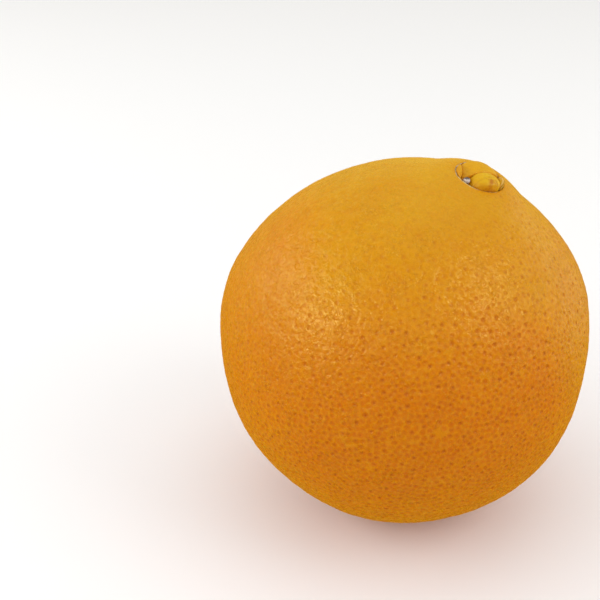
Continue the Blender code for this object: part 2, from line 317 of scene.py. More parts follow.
def lip_shape(azimuth):
    # Radius and height of the wall's top, and how far the lip bends on its way to the skin
    polar = rim_polar(azimuth)
    inner = skin_point(direction(polar - LIP_SLOPE_STEP, azimuth))
    outer = skin_point(direction(polar + LIP_SLOPE_STEP, azimuth))
    run = np.hypot(outer[..., 0], outer[..., 1]) - np.hypot(inner[..., 0], inner[..., 1])
    slope = np.arctan2(inner[..., 2] - outer[..., 2], run)
    end = skin_point(direction(polar, azimuth))
    sweep = math.pi / 2.0 + slope
    wall_radius = np.hypot(end[..., 0], end[..., 1]) - LIP_RADIUS * (1.0 - np.cos(sweep))
    wall_top = end[..., 2] - LIP_RADIUS * np.sin(sweep)
    return wall_radius, wall_top, sweep


LIP_STATIONS = np.arange(LIP_STEPS + 1) * TAU / LIP_STEPS
LIP_TABLE = np.stack(lip_shape(LIP_STATIONS))
WALL_TOP = float(LIP_TABLE[1, :-1].mean())
CUP_FLOOR = WALL_TOP - CUP_DEPTH
NAVEL_BASE = np.array([0.0, 0.0, WALL_TOP])


def wall_beside(points):
    # Radius and height of the wall's top at each point's azimuth
    turn = np.arctan2(points[:, 1], points[:, 0]) % TAU
    return [np.interp(turn, LIP_STATIONS, row) for row in LIP_TABLE[:2]]


def cup_and_lip(part, azimuth):
    # Part 0 is the middle of the cup's floor, and part 1 is where the lip meets the skin
    wall_radius, wall_top, sweep = lip_shape(azimuth)
    turn = math.pi / 2.0 * np.clip(part / (1.0 - LIP_SHARE), 0.0, 1.0) ** CUP_RING_CROWDING
    power = 2.0 / CUP_SQUARENESS
    cup_radius = wall_radius * np.sin(turn) ** power
    cup_height = wall_top - (wall_top - CUP_FLOOR) * np.maximum(np.cos(turn), 0.0) ** power
    bend = sweep * np.clip((part - 1.0 + LIP_SHARE) / LIP_SHARE, 0.0, 1.0)
    lip_radius = wall_radius + LIP_RADIUS * (1.0 - np.cos(bend))
    lip_height = wall_top + LIP_RADIUS * np.sin(bend)
    in_cup = part < 1.0 - LIP_SHARE
    return round_axis(np.where(in_cup, cup_radius, lip_radius), azimuth,
                      np.where(in_cup, cup_height, lip_height))


# Mesh helpers

def add_mesh(name, points, faces):
    mesh = bpy.data.meshes.new(name)
    mesh.from_pydata(points.tolist(), [], faces)
    mesh.polygons.foreach_set("use_smooth", [True] * len(mesh.polygons))
    mesh.update()
    piece = bpy.data.objects.new(name, mesh)
    bpy.context.scene.collection.objects.link(piece)
    return piece


def add_attribute(piece, name, values, kind="FLOAT", domain="POINT"):
    attribute = piece.data.attributes.new(name, kind, domain)
    field = "vector" if kind == "FLOAT_VECTOR" else "value"
    attribute.data.foreach_set(field, np.ascontiguousarray(values, dtype=np.float32).ravel())


def noise_at(points, scale, offset):
    shift = Vector((offset, -offset, 2.0 * offset))
    return np.array([noise.noise(Vector(p) * scale + shift) for p in points.tolist()])


def ball(segments, rings):
    # Directions and faces of a globe, with one point at each end
    ring, step = np.meshgrid(np.arange(1, rings), np.arange(segments), indexing="ij")
    ways = direction(math.pi * ring / rings, TAU * step / segments).reshape(-1, 3)
    ways = np.concatenate([ways, [[0.0, 0.0, 1.0], [0.0, 0.0, -1.0]]])
    faces = []
    top, bottom = len(ways) - 2, len(ways) - 1
    for r in range(rings - 2):
        for s in range(segments):
            t = (s + 1) % segments
            faces.append((r * segments + s, (r + 1) * segments + s,
                          (r + 1) * segments + t, r * segments + t))
    for s in range(segments):
        t = (s + 1) % segments
        faces.append((top, s, t))
        faces.append((bottom, (rings - 2) * segments + t, (rings - 2) * segments + s))
    return ways, faces


# Oil gland pits, spread evenly but without rows

def nearest_pores(points, pores, count):
    # Indices of the pores nearest to each unit direction, the nearest first
    tree = KDTree(len(pores))
    for index, pore in enumerate(pores.tolist()):
        tree.insert(pore, index)
    tree.balance()
    return np.array([[hit[1] for hit in tree.find_n(point, count)] for point in points.tolist()])


def spread_pores():
    draw = np.random.default_rng(PLACE_SEED)
    pores = unit(draw.normal(size=(PORE_COUNT, 3)))
    spacing = math.sqrt(4.0 * math.pi / PORE_COUNT)
    for _ in range(PORE_ROUNDS):
        near = nearest_pores(pores, pores, PORE_NEIGHBOURS + 1)[:, 1:]
        away = pores[:, None] - pores[near]
        gap = np.maximum(np.linalg.norm(away, axis=-1, keepdims=True), TINY)
        push = away / gap * np.maximum(PORE_PUSH_REACH - gap / spacing, 0.0)
        pores = unit(pores + PORE_PUSH * spacing * push.sum(axis=1))
    return pores


def pore_strengths(pores):
    # Strong pits keep apart, and the rest between them are faint
    draw = np.random.default_rng(STRENGTH_SEED)
    strengths = draw.uniform(*FAINT_PITS, len(pores))
    limit = math.cos(STRONG_PORE_SPACING / BODY_RADIUS)
    strong = np.zeros(len(pores), dtype=bool)
    for index in draw.permutation(len(pores)):
        if not strong.any() or (pores[strong] @ pores[index]).max() < limit:
            strong[index] = True
    strengths[strong] = draw.uniform(*STRONG_PITS, int(strong.sum()))
    # Near the lit left pole this fading paints in the left highlight washing the pits out
    for pole, (whole, least) in ((YELLOW_POLE, YELLOW_FADE), (LIT_LEFT_POLE, LIT_LEFT_FADE)):
        strengths *= np.clip(turn_from(pores, direction(*pole)) / whole, least, 1.0)
    return strengths, strong


# Triangulation of points on the sphere, one side of a cube at a time

CUBE_SIDES = [(axis, sign) for axis in range(3) for sign in (1.0, -1.0)]
PATCH_LIMIT = math.cos(math.radians(60.0))
TEXTURE_SHARE = 0.94


def cube_side(directions):
    axis = np.abs(directions).argmax(axis=1)
    sign = np.take_along_axis(directions, axis[:, None], axis=1)[:, 0] < 0.0
    return axis * 2 + sign


def side_plane(directions, axis, sign):
    # Stereographic picture of one side of the sphere, as seen from the far side
    across = directions[:, (axis + 1) % 3] * sign
    along = directions[:, (axis + 2) % 3]
    return np.stack([across, along], axis=1) / (1.0 + directions[:, axis] * sign)[:, None]


def triangulate_sphere(directions):
    triangles = []
    for side, (axis, sign) in enumerate(CUBE_SIDES):
        chosen = np.nonzero(directions[:, axis] * sign > PATCH_LIMIT)[0]
        flat = side_plane(directions[chosen], axis, sign)
        corners = [Vector(p) for p in flat.tolist()]
        result = delaunay_2d_cdt(corners, [], [], 0, 0.0, True)
        origin = np.array([ids[0] for ids in result[3]])
        faces = chosen[origin[np.array(result[2])]]
        middle = unit(directions[faces].sum(axis=1))
        triangles.append(faces[cube_side(middle) == side])
    faces = np.concatenate(triangles)
    a, b, c = (directions[faces[:, k]] for k in range(3))
    outward = (np.cross(b - a, c - a) * a).sum(axis=1) > 0.0
    faces[~outward] = faces[~outward][:, ::-1]
    return faces


def lay_out(piece, ways, faces, middle):
    # One square of the texture for each side of the cube
    side = cube_side(middle)
    corners = ways[faces]
    uv = np.empty(corners.shape[:2] + (2,))
    for index, (axis, sign) in enumerate(CUBE_SIDES):
        mine = side == index
        height = corners[mine][..., axis] * sign
        across = np.arctan2(corners[mine][..., (axis + 1) % 3] * sign, height)
        along = np.arctan2(corners[mine][..., (axis + 2) % 3], height)
        share = np.stack([across, along], axis=-1) / (math.pi / 2.0) * TEXTURE_SHARE + 0.5
        cell = np.array([index % 3, index // 3])
        uv[mine] = (share + cell) * np.array([1.0 / 3.0, 1.0 / 2.0])
    layer = piece.data.uv_layers.new(name="OFBake")
    layer.data.foreach_set("uv", uv.astype(np.float32).ravel())


# Skin, from the pits, points between them and rings over the navel's cup and lip

def navel_rings():
    # Directions of the rings' points, with their part of the way out and their azimuth
    parts, turns = [0.0], [0.0]
    for ring in range(1, CUP_RINGS + 1):
        part = ring / CUP_RINGS
        steps = max(FEWEST_RING_STEPS, int(RING_STEPS * min(1.0, part * RING_STEP_GROWTH)))
        for step in range(steps):
            parts.append(part)
            turns.append(TAU * (step + 0.5 * (ring % 2)) / steps)
    parts, turns = np.array(parts), np.array(turns)
    return direction(parts * rim_polar(turns), turns), parts, turns


def ring_directions(centres, radius, count, turn):
    side, other = tangents(centres)
    angle = turn[:, None] + TAU * np.arange(count) / count
    offset = np.cos(angle)[..., None] * side[:, None] + np.sin(angle)[..., None] * other[:, None]
    return unit(centres[:, None] + radius * offset)


def fill_between(pores, strong):
    # A ring around each strong pit and points in the gaps, each with its pit's index or -1
    draw = np.random.default_rng(RING_SEED)
    turn = draw.uniform(0.0, TAU, int(strong.sum()))
    rings = ring_directions(pores[strong], PORE_RADIUS / BODY_RADIUS, PORE_RING, turn)
    net = triangulate_sphere(pores)
    edges = np.concatenate([net[:, [0, 1]], net[:, [1, 2]], net[:, [2, 0]]])
    edges = np.unique(np.sort(edges, axis=1), axis=0)
    gaps = np.concatenate([pores[edges].sum(axis=1), pores[net].sum(axis=1)])
    fill = np.concatenate([rings.reshape(-1, 3), unit(gaps)])
    ringed = np.repeat(np.nonzero(strong)[0], PORE_RING)
    ringed = np.concatenate([ringed, np.full(len(gaps), -1)])
    kept = outside_rim(fill, FILL_CLEARANCE)
    return fill[kept], ringed[kept]


def skin_relief(points, polar, strengths, ringed):
    # Heights of the pits, the pebbles between them and slow lumps. The points are the pits,
    # then those between them, then the cup and lip, which stay as they are
    pits = slice(0, len(strengths))
    gaps = slice(len(strengths), len(strengths) + len(ringed))
    height = np.zeros(len(points))
    height[pits] -= PIT_DEPTH * strengths
    ring_share = np.where(ringed < 0, 0.0, PIT_RING_SHARE)
    height[gaps] -= PIT_DEPTH * ring_share * strengths[np.maximum(ringed, 0)]
    raised = np.where(ringed < 0, 1.0, PEBBLE_RING_SHARE)
    height[gaps] += PEBBLE_HEIGHT * raised * noise_at(points[gaps], *PEBBLE_NOISE)
    height += LUMP_HEIGHT * noise_at(points, *LUMP_NOISE)
    near_stem = np.exp(-((math.pi - polar) * BODY_RADIUS / STEM_WAVE_REACH) ** 2)
    height += STEM_WAVE_HEIGHT * near_stem * noise_at(points, *STEM_WAVE_NOISE)
    height *= np.interp(polar, NAVEL_CALM_ANGLES, (NAVEL_CALM_SHARE, 1.0))
    height[gaps.stop:] = 0.0
    return height


def build_skin():
    pores = spread_pores()
    pores = pores[outside_rim(pores, PORE_CLEARANCE)]
    strengths, strong = pore_strengths(pores)
    fill, ringed = fill_between(pores, strong)
    cup, cup_part, cup_turn = navel_rings()
    ways = np.concatenate([pores, fill, cup])
    faces = triangulate_sphere(ways)
    polar = angles(ways)[0]
    points, furrow = skin_shape(ways)
    relief = skin_relief(points, polar, strengths, ringed)
    points += skin_normal(ways) * relief[:, None]
    points[-len(cup):] = cup_and_lip(cup_part, cup_turn)
    world = to_world(points)
    world[:, 2] = np.maximum(world[:, 2], 0.0)
    piece = add_mesh("orange_skin", world, faces.tolist())

    # What the material needs: the nearest pit of each face, and where each point lies
    middle = unit(ways[faces].sum(axis=1))
    owner = nearest_pores(middle, pores, 1)[:, 0]
    outside = (faces < len(ways) - len(cup)).any(axis=1)
    add_attribute(piece, "pore", world[owner], "FLOAT_VECTOR", "FACE")
    add_attribute(piece, "pore_strength", strengths[owner] * outside, "FLOAT", "FACE")
    add_attribute(piece, "navel_angle", np.degrees(polar))
    for name, pole in (("lit_left_angle", LIT_LEFT_POLE),
                       ("yellow_angle", YELLOW_POLE),
                       ("rim_light_angle", RIM_LIGHT_POLE)):
        add_attribute(piece, name, np.degrees(turn_from(ways, direction(*pole))))
    add_attribute(piece, "furrow", furrow / FURROW_DEPTH)
    inside = np.zeros(len(ways))
    inside[-len(cup):] = 1.0 - cup_part
    add_attribute(piece, "cup", inside)
    lay_out(piece, ways, faces, middle)
    return piece


# Lobes of the small second fruit in the navel

SPLIT_ANGLE = 114.0
SPLIT_OFFSET = -0.45
LEFT_SPLIT = 4.05
RIGHT_SPLIT = 3.9
HALF_GAP = 0.01
WALL_GAP = 0.04
NUB_GAP = 0.06
LOBE_REACH = 9.0
LOBE_HALVINGS = 26
SLOPE_SHARPNESS = 4.0

# Fine wrinkles: scale, offset and share of each noise. Where the noise is lowest, at minus
# the crest or less, the skin has the lobe's full form, and elsewhere it lies further in
WRINKLE_NOISES = ((1.7, 5.0, 0.7), (3.9, 2.0, 0.5))
WRINKLE_CREST = 0.6

# The back lobe runs down to the front one and to the nub: a point, its height,
# the azimuth that leads uphill and the steepness
BACK_SLOPES = (
    (0.18, -0.41, 1.95, math.radians(114.0), math.radians(17.0)),
    (-1.83, -1.31, 0.75, math.radians(50.0), math.radians(35.0)),
)

# Creases of the front lobe, down to a depth below the wall's top: width, depth and corners
FRONT_CREASES = (
    (0.28, 0.035, ((-1.25, -4.3), (-0.67, -4.0), (0.02, -3.6),
                   (0.84, -3.1), (1.63, -2.65), (2.4, -2.0))),
    (0.13, 0.12, ((2.7, -2.9), (2.95, -3.15), (3.2, -3.35), (3.45, -3.35))),
)
CREASE_DOWN_TO = 0.8
DEEPEST_CREASE = 0.12

# Centres and seeds are measured from the middle of the navel, at the height of the wall's
# top. A flat side is an azimuth and an offset, and a mesh is its segments and rings
BACK_LOBE = {
    "centre": (0.05, 1.2, -1.6),
    "radii": (5.0, 5.5, 4.38),
    "seed": (-0.4, 1.8, -1.2),
    "sides": ((SPLIT_ANGLE + 180.0, -SPLIT_OFFSET - HALF_GAP),
              (186.0, LEFT_SPLIT - HALF_GAP),
              (4.0, RIGHT_SPLIT - HALF_GAP)),
    "slopes": BACK_SLOPES,
    "clears_nub": True,
    "sharpness": 12.0,
    "mesh": (140, 90),
    "wrinkle": 0.05,
}
FRONT_LOBE = {
    "centre": (1.5, -1.8, -1.0),
    "radii": (3.7, 3.9, 3.2),
    "seed": (1.7, -2.0, -1.2),
    "sides": ((SPLIT_ANGLE, SPLIT_OFFSET - HALF_GAP),
              (4.0, RIGHT_SPLIT - HALF_GAP)),
    "clears_nub": True,
    "sharpness": 7.0,
    "mesh": (180, 116),
    "wrinkle": 0.05,
    "creases": FRONT_CREASES,
}
SIDE_LOBE = {
    "centre": (-4.3, 0.5, -1.2),
    "radii": (1.9, 4.0, 2.35),
    "seed": (-4.35, 0.0, -1.3),
    "sides": ((6.0, -LEFT_SPLIT - HALF_GAP),),
    "clears_nub": True,
    "sharpness": 8.0,
    "mesh": (70, 44),
    "wrinkle": 0.04,
}
MEMBRANE = {
    "centre": (4.9, 0.7, -0.6),
    "radii": (1.2, 4.4, 2.1),
    "seed": (4.4, -0.1, -0.7),
    "sides": ((184.0, -RIGHT_SPLIT - HALF_GAP),),
    "clears_nub": False,
    "sharpness": 18.0,
    "mesh": (110, 72),
    "wrinkle": 0.02,
}

# Dried nub, with the side of it that the material darkens
NUB = {"centre": (-2.75, -3.05, -0.2), "radii": (0.78, 0.62, 0.75)}
NUB_MESH = (40, 28)
NUB_WRINKLES = 5
NUB_WRINKLE_DEPTH = 0.08
NUB_ROUGHNESS = 0.12
NUB_SHRINKAGE = 0.05
NUB_NOISE = (3.2, 4.0)
NUB_SHADE_SIDE = np.array([-0.6, 0.3, 0.74])


def cup_distance(points, inset):
    wall_radius, wall_top = wall_beside(points)
    radius = np.hypot(points[:, 0], points[:, 1])
    rise = points[:, 2] - wall_top
    round_edge = np.hypot(radius - wall_radius - LIP_RADIUS, rise)
    above = np.maximum(LIP_RADIUS + inset - round_edge, radius - wall_radius - LOBE_OVERHANG)
    across = radius / (wall_radius - inset)
    depth = np.maximum(-rise, 0.0) / (wall_top - CUP_FLOOR - inset)
    power = CUP_SQUARENESS
    below = wall_radius * ((across ** power + depth ** power) ** (1.0 / power) - 1.0)
    return np.where(rise > 0.0, above, below)


def blend_max(values, sharpness):
    values = np.stack(values)
    top = values.max(axis=0)
    return top + np.log(np.exp(sharpness * (values - top)).sum(axis=0)) / sharpness


def slope_distance(points, slope):
    x, y, rise, uphill, steepness = slope
    along = (points[:, 0] - x) * math.cos(uphill) + (points[:, 1] - y) * math.sin(uphill)
    over = points[:, 2] - WALL_TOP - rise
    return over * math.cos(steepness) - along * math.sin(steepness)


def side_distance(points, side):
    azimuth, offset = side
    turn = math.radians(azimuth)
    return points[:, 0] * math.cos(turn) + points[:, 1] * math.sin(turn) - offset


def lobe_distance(points, lobe):
    # Negative inside the lobe
    scaled = (points - NAVEL_BASE - np.array(lobe["centre"])) / np.array(lobe["radii"])
    form = [(np.linalg.norm(scaled, axis=1) - 1.0) * min(lobe["radii"])]
    form += [slope_distance(points, slope) for slope in lobe.get("slopes", ())]
    values = [cup_distance(points, WALL_GAP), blend_max(form, SLOPE_SHARPNESS)]
    values += [side_distance(points, side) for side in lobe["sides"]]
    if lobe["clears_nub"]:
        nub = NAVEL_BASE + np.array(NUB["centre"])
        reach = max(NUB["radii"]) + NUB_GAP
        values.append(reach - np.linalg.norm(points - nub, axis=1))
    return blend_max(values, lobe["sharpness"])


def lobe_reach(seed, ways, lobe):
    # How far the lobe's surface is from its seed in each direction
    near = np.zeros(len(ways))
    far = np.full(len(ways), LOBE_REACH)
    for _ in range(LOBE_HALVINGS):
        middle = (near + far) / 2.0
        inside = lobe_distance(seed + ways * middle[:, None], lobe) < 0.0
        near = np.where(inside, middle, near)
        far = np.where(inside, far, middle)
    return near


def line_distance(points, line):
    # Distance from a line of corners, seen from above
    best = np.full(len(points), np.inf)
    for start, end in zip(np.array(line[:-1]), np.array(line[1:])):
        run = end - start
        share = np.clip((points[:, :2] - start) @ run / (run @ run), 0.0, 1.0)
        gap = np.linalg.norm(points[:, :2] - start - share[:, None] * run, axis=1)
        best = np.minimum(best, gap)
    return best


def build_lobe(name, lobe):
    ways, faces = ball(*lobe["mesh"])
    seed = NAVEL_BASE + np.array(lobe["seed"])
    reach = lobe_reach(seed, ways, lobe)
    points = seed + ways * reach[:, None]
    dimple = sum(share * noise_at(points, scale, offset)
                 for scale, offset, share in WRINKLE_NOISES)
    reach -= lobe["wrinkle"] * (WRINKLE_CREST + np.clip(dimple, -WRINKLE_CREST, 1.0))
    # The creases' share is kept for the painted shade along them
    crease_shade = np.zeros(len(points))
    for width, depth, line in lobe.get("creases", ()):
        share = np.exp(-(line_distance(points, line) / width) ** 2)
        share *= points[:, 2] > WALL_TOP - CREASE_DOWN_TO
        reach -= depth * share
        crease_shade = np.maximum(crease_shade, share * depth / DEEPEST_CREASE)
    points = seed + ways * reach[:, None]
    seam = -np.max([side_distance(points, side) for side in lobe["sides"]], axis=0)
    from_wall = wall_beside(points)[0] - np.hypot(points[:, 0], points[:, 1])
    piece = add_mesh(name, to_world(points), faces)
    add_attribute(piece, "rise", points[:, 2] - WALL_TOP)
    add_attribute(piece, "seam", seam)
    add_attribute(piece, "crease_shade", crease_shade)
    add_attribute(piece, "from_wall", from_wall)
    return piece


def build_nub():
    ways, faces = ball(*NUB_MESH)
    wave = np.cos(NUB_WRINKLES * np.arctan2(ways[:, 1], ways[:, 0]))
    wrinkle = 1.0 - NUB_WRINKLE_DEPTH * (1.0 + wave)
    rough = 1.0 - NUB_SHRINKAGE + NUB_ROUGHNESS * noise_at(ways, *NUB_NOISE)
    points = NAVEL_BASE + np.array(NUB["centre"])
    points = points + ways * np.array(NUB["radii"]) * (wrinkle * rough)[:, None]
    piece = add_mesh("dried_nub", to_world(points), faces)
    add_attribute(piece, "shade", ways @ NUB_SHADE_SIDE)
    return piece


# Dried edge along the navel's rim

SCAR_STEPS = 300
SCAR_SIDES = 8
SCAR_WIDTH_SHARE = 1.5
SCAR_THINNEST = 0.004
SCAR_USUAL_SHARE = 0.8
SCAR_UNEVENNESS = 0.7
SCAR_NOISE = (1.6, 6.0)
SCAR_WANDER = 0.035
SCAR_WANDER_NOISE = (4.0, 9.0)
SCAR_WANDER_POLAR = 1.2

# Azimuth, reach, thickness, paleness and place on the lip of each stretch of the dried line
SCAR_STRETCHES = (
    (172.0, 26.0, 0.13, 0.5, 0.80),
    (122.0, 26.0, 0.06, 0.2, 0.80),
    (235.0, 32.0, 0.07, 1.0, 0.97),
    (294.0, 20.0, 0.05, 0.0, 0.92),
    (15.0, 42.0, 0.14, 0.1, 0.62),
)


def scar_line():
    # The line's points, the ways out of the lip there, its thickness and its paleness
    turns = np.arange(SCAR_STEPS) * TAU / SCAR_STEPS
    thick, pale, place, total = np.zeros((4, SCAR_STEPS))
    for azimuth, reach, thickness, paleness, part in SCAR_STRETCHES:
        turn = within_half_turn(turns - math.radians(azimuth))
        share = np.exp(-(turn / math.radians(reach)) ** 4)
        thick += thickness * share
        pale += paleness * share
        place += part * (share + TINY)
        total += share + TINY
    wander = SCAR_WANDER * noise_at(direction(SCAR_WANDER_POLAR, turns), *SCAR_WANDER_NOISE)
    line = cup_and_lip(np.minimum(place / total + wander, 1.0), turns)
    thick *= SCAR_USUAL_SHARE + SCAR_UNEVENNESS * noise_at(line, *SCAR_NOISE)
    wall_radius, wall_top, _ = lip_shape(turns)
    out = unit(line - round_axis(wall_radius + LIP_RADIUS, turns, wall_top))
    return line, out, thick, pale


def build_rim_scar():
    line, out, thick, pale = scar_line()
    along = unit(np.roll(line, -1, axis=0) - np.roll(line, 1, axis=0))
    side = np.cross(along, out)
    angle = np.arange(SCAR_SIDES) * TAU / SCAR_SIDES
    ring = (np.cos(angle)[None, :, None] * side[:, None] * SCAR_WIDTH_SHARE
            + np.sin(angle)[None, :, None] * out[:, None])
    radius = np.maximum(thick, SCAR_THINNEST)
    points = (line[:, None] + ring * radius[:, None, None]).reshape(-1, 3)
    faces = []
    for i in range(SCAR_STEPS):
        j = (i + 1) % SCAR_STEPS
        for k in range(SCAR_SIDES):
            m = (k + 1) % SCAR_SIDES
            faces.append((i * SCAR_SIDES + k, j * SCAR_SIDES + k,
                          j * SCAR_SIDES + m, i * SCAR_SIDES + m))
    piece = add_mesh("navel_rim_scar", to_world(points), faces)
    add_attribute(piece, "pale", np.repeat(pale, SCAR_SIDES))
    return piece


# Stem button

def calyx_radius(azimuth):
    wave = np.cos(CALYX_POINTS * azimuth + 0.5)
    lopsided = CALYX_LOPSIDED * np.cos(azimuth - 0.8)
    threes = CALYX_THREES * np.cos(3.0 * azimuth)
    return CALYX_RADIUS + CALYX_POINT * wave + lopsided + threes


def stem_surface(radius, azimuth):
    return skin_point(direction(math.pi - radius / BODY_RADIUS, azimuth))


def build_calyx():
    ways, faces = ball(*CALYX_MESH)
    polar, azimuth = angles(ways)
    reach = calyx_radius(azimuth)
    radius = reach * np.sin(polar) ** CALYX_BLUNTNESS
    base = stem_surface(radius, azimuth)
    middle_share = 1.0 - (radius / reach) ** 2
    thickness = CALYX_EDGE_THICKNESS + (CALYX_THICKNESS - CALYX_EDGE_THICKNESS) * middle_share
    base[:, 2] -= CALYX_CLEARANCE + thickness * (1.0 - np.cos(polar)) / 2.0
    base[:, 2] += CALYX_BUMP * noise_at(base, *CALYX_NOISE) * (np.cos(polar) < 0.0)
    piece = add_mesh("stem_calyx", to_world(base), faces)
    add_attribute(piece, "edge", radius / reach)
    return piece


def build_stub():
    ways, faces = ball(*STUB_MESH)
    azimuth = np.arctan2(ways[:, 1], ways[:, 0])
    ragged = 1.0 + STUB_FOURS * np.cos(4.0 * azimuth) + STUB_SEVENS * np.cos(7.0 * azimuth + 1.0)
    radius = STUB_RADIUS * ragged * np.hypot(ways[:, 0], ways[:, 1]) ** STUB_SQUARENESS
    rise = np.sign(ways[:, 2]) * np.abs(ways[:, 2]) ** STUB_SQUARENESS
    outer_end = ways[:, 2] < 0.0
    dish = STUB_DISH_DEPTH * np.exp(-(radius / STUB_DISH_REACH) ** 2) * outer_end
    top = stem_surface(np.zeros(1), np.zeros(1))[0, 2] - CALYX_CLEARANCE - CALYX_THICKNESS
    height = top - PIECE_GAP - STUB_HEIGHT * (1.0 - rise) / 2.0 + dish
    fibre = noise_at(round_axis(radius, azimuth, height * STUB_FIBRE_STRETCH), *STUB_NOISE)
    height = height + STUB_FIBRE * fibre * outer_end
    piece = add_mesh("stem_cut", to_world(round_axis(radius, azimuth, height)), faces)
    add_attribute(piece, "from_middle", radius / STUB_RADIUS)
    return piece


# Material helpers

class Nodes:
    # Short ways to fill the node tree of a material or of the world

    def __init__(self, owner):
        owner.use_nodes = True
        self.owner = owner
        self.tree = owner.node_tree

    def add(self, kind, inputs=(), **settings):
        node = self.tree.nodes.new(kind)
        for key, value in settings.items():
            setattr(node, key, value)
        for key, value in dict(inputs).items():
            self.feed(node.inputs[key], value)
        return node

    def feed(self, socket, value):
        if isinstance(value, bpy.types.NodeSocket):
            self.tree.links.new(value, socket)
        else:
            socket.default_value = value

    def attribute(self, name, output="Fac"):
        return self.add("ShaderNodeAttribute", attribute_name=name).outputs[output]

    def math(self, operation, first, second=0.0):
        return self.add("ShaderNodeMath", {0: first, 1: second}, operation=operation).outputs[0]

    def remap(self, value, low, high, to_low=0.0, to_high=1.0, smooth=True):
        node = self.add("ShaderNodeMapRange", {"Value": value, "From Min": low, "From Max": high,
                                               "To Min": to_low, "To Max": to_high})
        node.interpolation_type = "SMOOTHSTEP" if smooth else "LINEAR"
        return node.outputs[0]

    def place(self):
        return self.add("ShaderNodeTexCoord").outputs["Object"]

    def distance(self, place):
        # Millimetres from a place
        node = self.add("ShaderNodeVectorMath", {0: self.place(), 1: place}, operation="DISTANCE")
        return self.math("MULTIPLY", node.outputs["Value"], 1.0 / MM)

    def noise(self, scale, detail=3.0, roughness=0.5):
        inputs = {"Vector": self.place(), "Scale": scale, "Detail": detail, "Roughness": roughness}
        return self.add("ShaderNodeTexNoise", inputs).outputs["Fac"]

    def waver(self, scale, detail, reach):
        # Noise that swings by the same reach to both sides of zero
        return self.remap(self.noise(scale, detail), 0.2, 0.8, -reach, reach, smooth=False)

    def mix(self, share, first, second):
        node = self.add("ShaderNodeMix", data_type="RGBA")
        self.feed(node.inputs[0], share)
        self.feed(node.inputs[6], first)
        self.feed(node.inputs[7], second)
        return node.outputs[2]

    def tint(self, base, mask, amount, colour):
        return self.mix(self.math("MULTIPLY", mask, amount), base, colour)

    def ramp(self, value, stops):
        node = self.add("ShaderNodeValToRGB", {"Fac": value})
        marks = node.color_ramp.elements
        while len(marks) < len(stops):
            marks.new(0.5)
        for mark, (position, colour) in zip(marks, stops):
            mark.position = position
            mark.color = colour
        return node.outputs["Color"]

    def finish(self, colour, roughness, height=None, distance=0.0, **sockets):
        shader = self.tree.nodes["Principled BSDF"]
        self.feed(shader.inputs["Base Color"], colour)
        self.feed(shader.inputs["Roughness"], roughness)
        if height is not None:
            bump = self.add("ShaderNodeBump", {"Height": height, "Strength": 1.0,
                                               "Distance": distance})
            self.feed(shader.inputs["Normal"], bump.outputs["Normal"])
        for name, value in sockets.items():
            shader.inputs[name.replace("_", " ")].default_value = value
        return self.owner


def material_nodes(name):
    return Nodes(bpy.data.materials.new(name))


def rgb(red, green, blue):
    return (red, green, blue, 1.0)


# Materials

# Waxy gloss that stays yellow, and a warm bloom where the skin turns away
SOFT_GLOSS = {
    "Specular_IOR_Level": 0.4,
    "Specular_Tint": rgb(0.95, 1.0, 0.35),
    "Sheen_Weight": 0.30,
    "Sheen_Roughness": 0.35,
    "Sheen_Tint": rgb(1.0, 0.72, 0.03),
}

# Colours of the peel, by the share of a half turn from the yellow pole. Yellower and lighter near
# the top and darker and redder low down: partly the skin's own colour, partly painted light from
# above and painted shade below
PEEL_STOPS = (
    (0.05, rgb(0.64, 0.325, 0.008)),
    (0.16, rgb(0.63, 0.285, 0.005)),
    (0.23, rgb(0.65, 0.265, 0.003)),
    (0.31, rgb(0.645, 0.182, 0.001)),
    (0.40, rgb(0.62, 0.150, 0.001)),
    (0.58, rgb(0.58, 0.145, 0.001)),
)

# Reddish bruise and brown smudge of the front lobe: place, reach, share and colour. A spot
# fades from the core's share of its reach outward
FRONT_SPOTS = (
    ((1.85, -3.9, 1.6), 0.90, 0.85, rgb(0.44, 0.12, 0.014)),
    ((2.2, -4.55, -0.35), 1.45, 0.70, rgb(0.48, 0.15, 0.004)),
)
SPOT_CORE = 0.35

# Cut end of the stem, from its middle outward
CUT_STEM_STOPS = (
    (0.0, rgb(0.30, 0.20, 0.10)),
    (0.22, rgb(0.46, 0.36, 0.20)),
    (0.48, rgb(0.66, 0.56, 0.36)),
    (0.72, rgb(0.24, 0.17, 0.08)),
    (0.90, rgb(0.50, 0.42, 0.22)),
)


def peel_masks(n):
    # Pits, the skin around them, ridges between them, pebbles and worm-like wrinkles. The colour
    # uses them to paint light on ridges and wrinkles and shade in hollows
    away = n.math("ADD", n.distance(n.attribute("pore", "Vector")), n.waver(1500.0, 2.0, 0.18))
    strength = n.attribute("pore_strength")
    worms = n.math("ABSOLUTE", n.math("SUBTRACT", n.noise(1000.0, 2.0, 0.6), 0.5))
    return {
        "pit": n.math("MULTIPLY", n.remap(away, 0.0, 0.56, 1.0, 0.0), strength),
        "halo_and_shade": n.math("MULTIPLY", n.remap(away, 0.30, 0.95, 1.0, 0.0), strength),
        "ridge_light": n.remap(away, 0.50, 0.85),
        "pebbles": n.noise(560.0, 2.0),
        "worms": n.remap(worms, 0.0, 0.07, 1.0, 0.0),
    }


